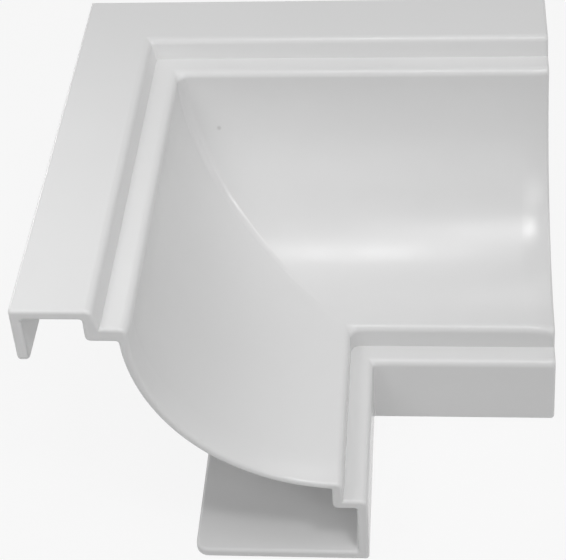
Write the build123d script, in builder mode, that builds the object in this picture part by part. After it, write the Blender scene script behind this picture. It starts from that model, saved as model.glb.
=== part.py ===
"""Internal corner trim: a moulded plastic corner for a hollow cove moulding.

Two mitred arms meet at a right angle. A skirt along the outer edges bears on the walls, the cove
sweeps down and out from the top flange, and a foot turns back under it to stand on.
The frame has +Z up, the wall corner at the back left (-X, +Y) and its origin at the middle of the base.
"""

import os

from build123d import *

# Overall sizes of the corner, in millimetres
arm_length = 101.0
height = 65.4
projection = 62.6
wall = 2.2

# Top flange, its skirt along the wall and the upper step, whose hidden back is upright
flange_width = 14.9
skirt_height = 12.4
skirt_corner_radius = 1.5
upper_step_drop = 4.2
upper_step_lean = 1.1
upper_ledge_width = 5.2
upper_step_thickness = 1.9
upper_ledge_thickness = 3.1

# Lower step, at the foot of the cove
lower_step_height = 22.4
lower_step_drop = 5.4
lower_ledge_width = 4.7

# Foot that turns back under the cove from the bottom of the leg
foot_width = 34.7
foot_corner_radius = 2.6

# Roll of the cove's face towards its two ends, which starts this far from the end of the foot
roll_start = 7.0
roll_radius = 25.0

# Rounding of the mould, and the draft of the two end faces in degrees
edge_radius = 1.5
outer_radius = 0.7
back_radius = 1.1
inside_radius = 0.6
mitre_radius = 0.6
valley_radius = 2.0
rim_radius = 0.7
end_draft = 2.0

# Heights, and distances out from the wall, that follow from the sizes above
upper_ledge_height = height - upper_step_drop
lower_ledge_height = lower_step_height - lower_step_drop
skirt_foot = height - skirt_height
step_foot = upper_ledge_height - upper_ledge_thickness
upper_step_back = flange_width - upper_step_thickness
riser_foot = flange_width + upper_step_lean
cove_top = riser_foot + upper_ledge_width
cove_bottom = projection - lower_ledge_width
foot_edge = projection - foot_width

# The wall corner, the plane of the section, the upright mitre plane and the right arm's end plane
wall_corner = Vector(-arm_length / 2, arm_length / 2, 0)
section_plane = Plane(origin=wall_corner, x_dir=(0, -1, 0), z_dir=(-1, 0, 0))
mitre_plane = Plane(origin=wall_corner, x_dir=(1, -1, 0), z_dir=(1, 1, 0))
end_foot = wall_corner + Vector(arm_length, 0, 0)
end_plane = Plane(origin=end_foot, z_dir=(1, 0, 0)).rotated((0, -end_draft, 0))


def round_corners(corners, radius):
    """Rounds the section's corners at points given by their distance out from the wall and their height."""
    fillet([section.vertices().sort_by_distance(corner)[0] for corner in corners], radius)


def arm_edge(out, up):
    """The right arm's edge nearest to a point given in the same way, a quarter of the arm from its end."""
    return corner_trim.edges().sort_by_distance(end_foot + Vector(-arm_length / 4, -out, up))[0]


def mitre_edge(out, up):
    """The edge of the mitre nearest to a point given in the same way."""
    return corner_trim.edges().sort_by_distance(wall_corner + Vector(out, -out, up))[0]


with BuildPart() as corner_trim:
    # The section: the line of the show face, thickened on its hidden side and rounded as moulded
    with BuildSketch(section_plane) as section:
        with BuildLine() as show_face:
            Polyline(
                (0, skirt_foot),
                (0, height),
                (flange_width, height),
                (riser_foot, upper_ledge_height),
                (cove_top, upper_ledge_height),
            )
            cove = TangentArc(
                (cove_bottom, lower_step_height), (cove_top, upper_ledge_height), tangent=(-1, 0)
            )
            Polyline(
                (cove_bottom, lower_step_height),
                (cove_bottom, lower_ledge_height),
                (projection, lower_ledge_height),
                (projection, 0),
                (foot_edge, 0),
            )
            offset(amount=wall, side=Side.RIGHT, kind=Kind.INTERSECTION)
        make_face()
        with BuildLine() as step_block:
            Polyline(
                (upper_step_back, height - wall / 2),
                (flange_width - wall / 2, height - wall / 2),
                (riser_foot, upper_ledge_height - wall / 2),
                (cove_top - wall / 2, upper_ledge_height - wall / 2),
                (cove_top - wall / 2, step_foot),
                (upper_step_back, step_foot),
                close=True,
            )
        make_face()
        show_edges = [
            (flange_width, height),
            (projection, lower_ledge_height),
        ]
        outer_edges = [
            (0, height),
            (projection, 0),
        ]
        back_edges = [
            (upper_step_back, step_foot),
            (cove_bottom - wall, lower_ledge_height - wall),
        ]
        inside_corners = [
            (wall, height - wall),
            (upper_step_back, height - wall),
            (cove_top - wall, step_foot),
            (cove_bottom - wall, lower_step_height - wall),
            (projection - wall, lower_ledge_height - wall),
            (projection - wall, wall),
        ]
        round_corners(show_edges, edge_radius)
        round_corners(outer_edges, outer_radius)
        round_corners(back_edges, back_radius)
        round_corners(inside_corners, inside_radius)

    # The right arm, cut to the mitre at the wall corner and to its drafted end
    extrude(amount=-arm_length - wall)
    split(bisect_by=mitre_plane, keep=Keep.TOP)
    split(bisect_by=end_plane, keep=Keep.BOTTOM)

    # The cove rolls off towards the end, like the bell of a horn, and its edges are rounded after that
    cove_axis = Axis(end_foot + Vector(0, -cove.arc_center.X, cove.arc_center.Y), (1, 0, 0))
    with BuildSketch(Plane(origin=cove_axis.position, x_dir=(1, 0, 0), z_dir=(0, 1, 0))):
        with BuildLine():
            roll = CenterArc((-roll_start, cove.radius + roll_radius), roll_radius, -90, 30)
            roll_end = roll @ 1
            Polyline(roll_end, (roll_end.X, cove.radius - wall), (-roll_start, cove.radius - wall), roll @ 0)
        make_face()
    revolve(axis=cove_axis, mode=Mode.SUBTRACT)
    fillet([arm_edge(cove_top, upper_ledge_height), arm_edge(cove_bottom, lower_step_height)], edge_radius)

    # The corners of the foot and the skirt are rounded, and then the rim of the end
    foot_tip = end_foot + Vector(0, -foot_edge, wall / 2)
    skirt_tip = end_foot + Vector(0, -wall / 2, skirt_foot)
    fillet(corner_trim.edges().sort_by_distance(foot_tip)[0], foot_corner_radius)
    fillet(corner_trim.edges().filter_by(Axis.Y).sort_by_distance(skirt_tip)[0], skirt_corner_radius)
    end_rim = corner_trim.faces().filter_by(end_plane).edges()
    foot_side = corner_trim.faces().filter_by(Plane.XZ).sort_by_distance(foot_tip)[0]
    skirt_base = corner_trim.faces().filter_by(Plane.XY).sort_by_distance(skirt_tip)[0]
    fillet(end_rim + (foot_side.edges() + skirt_base.edges()).filter_by(Axis.X), rim_radius)

    # The left arm is the right arm's mirror image in the mitre, whose inside corners are then rounded
    mirror(about=mitre_plane)
    cove_middle = cove @ 0.5
    fillet(mitre_edge(cove_middle.X, cove_middle.Y), valley_radius)
    upper_riser = mitre_edge((flange_width + riser_foot) / 2, height - upper_step_drop / 2)
    lower_riser = mitre_edge(cove_bottom, lower_step_height - lower_step_drop / 2)
    leg = mitre_edge(projection, lower_ledge_height / 2)
    fillet([upper_riser, lower_riser, leg], mitre_radius)

corner_trim.part.label = "corner_trim"

os.makedirs("parts", exist_ok=True)
export_step(corner_trim.part, "parts/corner_trim.step")
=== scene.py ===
import math

import bpy
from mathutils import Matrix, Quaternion, Vector


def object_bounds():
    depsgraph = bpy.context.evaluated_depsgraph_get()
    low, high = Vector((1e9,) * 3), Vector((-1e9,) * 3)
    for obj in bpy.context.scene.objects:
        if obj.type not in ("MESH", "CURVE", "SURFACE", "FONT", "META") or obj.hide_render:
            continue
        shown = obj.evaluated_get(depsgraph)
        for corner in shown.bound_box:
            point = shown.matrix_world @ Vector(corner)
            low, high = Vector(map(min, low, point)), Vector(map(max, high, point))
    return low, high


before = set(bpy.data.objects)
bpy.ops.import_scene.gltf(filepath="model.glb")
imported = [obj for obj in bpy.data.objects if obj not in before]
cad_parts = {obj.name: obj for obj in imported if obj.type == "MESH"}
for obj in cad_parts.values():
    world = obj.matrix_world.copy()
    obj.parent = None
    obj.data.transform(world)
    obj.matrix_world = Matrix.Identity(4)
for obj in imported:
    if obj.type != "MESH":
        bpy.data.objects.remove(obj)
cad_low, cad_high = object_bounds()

# Corner trim: the whole object is this one piece, moulded in a single shot of white plastic.
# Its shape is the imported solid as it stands, and this section gives it the skin that the mould leaves:
# satin, faintly clouded by the flow of the plastic, with a fine grain and one dark fleck.
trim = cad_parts["corner_trim"]
white_plastic = bpy.data.materials.new("white_plastic")
white_plastic.use_nodes = True
nodes = white_plastic.node_tree.nodes
links = white_plastic.node_tree.links
skin = nodes["Principled BSDF"]
skin.inputs["IOR"].default_value = 1.5
place = nodes.new("ShaderNodeTexCoord")

# The flow of the plastic clouds its white over stretches of a few centimetres
flow = nodes.new("ShaderNodeTexNoise")
flow.inputs["Scale"].default_value = 28.0
flow.inputs["Detail"].default_value = 3.0
links.new(place.outputs["Object"], flow.inputs["Vector"])
cloud = nodes.new("ShaderNodeMix")
cloud.data_type = "RGBA"
cloud.inputs["A"].default_value = (0.800, 0.800, 0.800, 1)
cloud.inputs["B"].default_value = (0.840, 0.840, 0.840, 1)
links.new(flow.outputs["Fac"], cloud.inputs["Factor"])

# One dark fleck of burnt plastic, under a millimetre across and soft-edged, shows in the cove near the mitre
fleck_place = (-0.0215, 0.0276, 0.0480)
fleck_core, fleck_edge = 0.0001, 0.0007
fleck_reach = nodes.new("ShaderNodeVectorMath")
fleck_reach.operation = "DISTANCE"
fleck_reach.inputs[1].default_value = fleck_place
links.new(place.outputs["Object"], fleck_reach.inputs[0])
fleck = nodes.new("ShaderNodeMapRange")
fleck.interpolation_type = "SMOOTHSTEP"
fleck.inputs["From Min"].default_value = fleck_core
fleck.inputs["From Max"].default_value = fleck_edge
fleck.inputs["To Min"].default_value = 0.30
fleck.inputs["To Max"].default_value = 0.0
links.new(fleck_reach.outputs["Value"], fleck.inputs["Value"])
flecked = nodes.new("ShaderNodeMix")
flecked.data_type = "RGBA"
flecked.inputs["B"].default_value = (0.30, 0.29, 0.28, 1)
links.new(fleck.outputs["Result"], flecked.inputs["Factor"])
links.new(cloud.outputs["Result"], flecked.inputs["A"])
links.new(flecked.outputs["Result"], skin.inputs["Base Color"])

# The satin varies a little where the mould was polished more or less
polish = nodes.new("ShaderNodeTexNoise")
polish.inputs["Scale"].default_value = 140.0
polish.inputs["Detail"].default_value = 2.0
links.new(place.outputs["Object"], polish.inputs["Vector"])
satin = nodes.new("ShaderNodeMapRange")
satin.inputs["From Min"].default_value = 0.3
satin.inputs["From Max"].default_value = 0.7
satin.inputs["To Min"].default_value = 0.225
satin.inputs["To Max"].default_value = 0.265
links.new(polish.outputs["Fac"], satin.inputs["Value"])
links.new(satin.outputs["Result"], skin.inputs["Roughness"])

# A fine grain, and a slow ripple under it, break up the reflections
ripple = nodes.new("ShaderNodeTexNoise")
ripple.inputs["Scale"].default_value = 60.0
ripple.inputs["Detail"].default_value = 1.0
links.new(place.outputs["Object"], ripple.inputs["Vector"])
ripple_bump = nodes.new("ShaderNodeBump")
ripple_bump.inputs["Strength"].default_value = 0.25
ripple_bump.inputs["Distance"].default_value = 0.0002
links.new(ripple.outputs["Fac"], ripple_bump.inputs["Height"])
grain = nodes.new("ShaderNodeTexNoise")
grain.inputs["Scale"].default_value = 1400.0
grain.inputs["Detail"].default_value = 2.0
links.new(place.outputs["Object"], grain.inputs["Vector"])
grain_bump = nodes.new("ShaderNodeBump")
grain_bump.inputs["Strength"].default_value = 0.10
grain_bump.inputs["Distance"].default_value = 0.00005
links.new(grain.outputs["Fac"], grain_bump.inputs["Height"])
links.new(ripple_bump.outputs["Normal"], grain_bump.inputs["Normal"])
links.new(grain_bump.outputs["Normal"], skin.inputs["Normal"])
trim.data.materials.clear()
trim.data.materials.append(white_plastic)

# Floor: a plain sheet of white paper under the trim, wide enough to fill the view.
# To the camera it glows evenly, as an overexposed studio sweep does, with part of the trim's shadow kept.
floor_width = 8.0
bpy.ops.mesh.primitive_plane_add(size=floor_width, location=(0, 0, cad_low.z))
floor = bpy.context.object
floor.name = "studio_floor"
white_sheet = bpy.data.materials.new("white_sheet")
white_sheet.use_nodes = True
nodes = white_sheet.node_tree.nodes
links = white_sheet.node_tree.links
paper = nodes["Principled BSDF"]
paper.inputs["Base Color"].default_value = (0.65, 0.65, 0.65, 1)
paper.inputs["Roughness"].default_value = 0.9
glow = nodes.new("ShaderNodeEmission")
glow.inputs["Color"].default_value = (1, 1, 1, 1)
glow.inputs["Strength"].default_value = 1.0
seen = nodes.new("ShaderNodeLightPath")
mirrored = nodes.new("ShaderNodeMath")
mirrored.operation = "MAXIMUM"
links.new(seen.outputs["Is Glossy Ray"], mirrored.inputs[0])
links.new(seen.outputs["Is Transmission Ray"], mirrored.inputs[1])
viewed = nodes.new("ShaderNodeMath")
viewed.operation = "MAXIMUM"
links.new(seen.outputs["Is Camera Ray"], viewed.inputs[0])
links.new(mirrored.outputs["Value"], viewed.inputs[1])
glow_share = nodes.new("ShaderNodeMath")
glow_share.operation = "MULTIPLY"
glow_share.inputs[1].default_value = 0.88
links.new(viewed.outputs["Value"], glow_share.inputs[0])
sweep = nodes.new("ShaderNodeMixShader")
links.new(glow_share.outputs["Value"], sweep.inputs["Fac"])
links.new(paper.outputs["BSDF"], sweep.inputs[1])
links.new(glow.outputs["Emission"], sweep.inputs[2])
links.new(sweep.outputs["Shader"], nodes["Material Output"].inputs["Surface"])
floor.data.materials.append(white_sheet)

# Lights: round soft boxes of white cloth on stands, 0.25 to 0.7 m from the trim and each turned to face it.
# Each has its bearing in degrees from the back over the right, its height angle in degrees, its distance
# and width in metres, and its power in watts.
soft_boxes = {
    "overhead": (187, 79, 0.55, 0.10, 0.26),
    "zenith": (0, 90, 0.55, 0.15, 0.03),
    "key_soft": (163, 66, 0.55, 0.13, 0.20),
    "key_right": (146, 60, 0.55, 0.09, 0.38),
    "front_right": (154, 39, 0.55, 0.14, 0.185),
    "front_low": (180, 22, 0.55, 0.30, 0.18),
    "front_near": (215, 45, 0.25, 0.08, 0.041),
    "left_near": (240, 40, 0.25, 0.08, 0.031),
    "left_high": (255, 60, 0.25, 0.08, 0.036),
    "left_top": (285, 72, 0.55, 0.30, 0.12),
    "right_low": (85, 20, 0.55, 0.26, 0.32),
    "right_high": (60, 58, 0.55, 0.20, 0.10),
    "back_left": (330, 42, 0.55, 0.20, 0.11),
    "back_right": (30, 67, 0.55, 0.16, 0.10),
    "back_low": (315, 8, 0.70, 0.18, 0.50),
}
light_centre = Vector((0, 0, 0.03))
for name, (bearing, rise, reach, width, power) in soft_boxes.items():
    bearing, rise = math.radians(bearing), math.radians(rise)
    level_reach = math.cos(rise)
    toward = Vector((math.sin(bearing) * level_reach, math.cos(bearing) * level_reach, math.sin(rise)))
    bpy.ops.object.light_add(type="AREA", location=light_centre + reach * toward)
    soft_box = bpy.context.object
    soft_box.name = name
    soft_box.data.shape = "DISK"
    soft_box.data.size = width
    soft_box.data.energy = power
    soft_box.visible_camera = False
    soft_box.rotation_euler = (-toward).to_track_quat("-Z", "Y").to_euler()

# Room: the pale walls far around the stage, which add a weak even light from all sides.
# The camera and reflections see them brighter than that, so low views have no dark band over the floor.
room = bpy.data.worlds.new("pale_room")
room.use_nodes = True
nodes = room.node_tree.nodes
links = room.node_tree.links
room_light = nodes["Background"]
room_light.inputs["Color"].default_value = (1, 1, 1, 1)
room_light.inputs["Strength"].default_value = 0.14
room_view = nodes.new("ShaderNodeBackground")
room_view.inputs["Color"].default_value = (1, 1, 1, 1)
room_view.inputs["Strength"].default_value = 0.70
seen = nodes.new("ShaderNodeLightPath")
mirrored = nodes.new("ShaderNodeMath")
mirrored.operation = "MAXIMUM"
links.new(seen.outputs["Is Glossy Ray"], mirrored.inputs[0])
links.new(seen.outputs["Is Transmission Ray"], mirrored.inputs[1])
viewed = nodes.new("ShaderNodeMath")
viewed.operation = "MAXIMUM"
links.new(seen.outputs["Is Camera Ray"], viewed.inputs[0])
links.new(mirrored.outputs["Value"], viewed.inputs[1])
room_mix = nodes.new("ShaderNodeMixShader")
links.new(viewed.outputs["Value"], room_mix.inputs["Fac"])
links.new(room_light.outputs["Background"], room_mix.inputs[1])
links.new(room_view.outputs["Background"], room_mix.inputs[2])
links.new(room_mix.outputs["Shader"], nodes["World Output"].inputs["Surface"])
bpy.context.scene.world = room

# Camera: a long lens on a stand in front of the trim and above it, rolled a little as in the picture.
# Its place, aim, roll and focal length in pixels were fitted to the trim's edges there.
picture_width = 566
focal_length_px = 1639.4
camera_place = Vector((0.02254, -0.25292, 0.26103))
camera_aim = Vector((-0.00676, -0.00115, 0.030))
camera_roll = math.radians(-4.2326)
bpy.ops.object.camera_add(location=camera_place)
camera = bpy.context.object
camera.data.sensor_width = 36.0
camera.data.lens = focal_length_px / picture_width * camera.data.sensor_width
camera.data.clip_start, camera.data.clip_end = 0.01, 20.0
camera.rotation_mode = "QUATERNION"
level = (camera_aim - camera_place).to_track_quat("-Z", "Y")
camera.rotation_quaternion = level @ Quaternion((0, 0, 1), camera_roll)
bpy.context.scene.camera = camera

bpy.context.scene.view_settings.view_transform = "Standard"
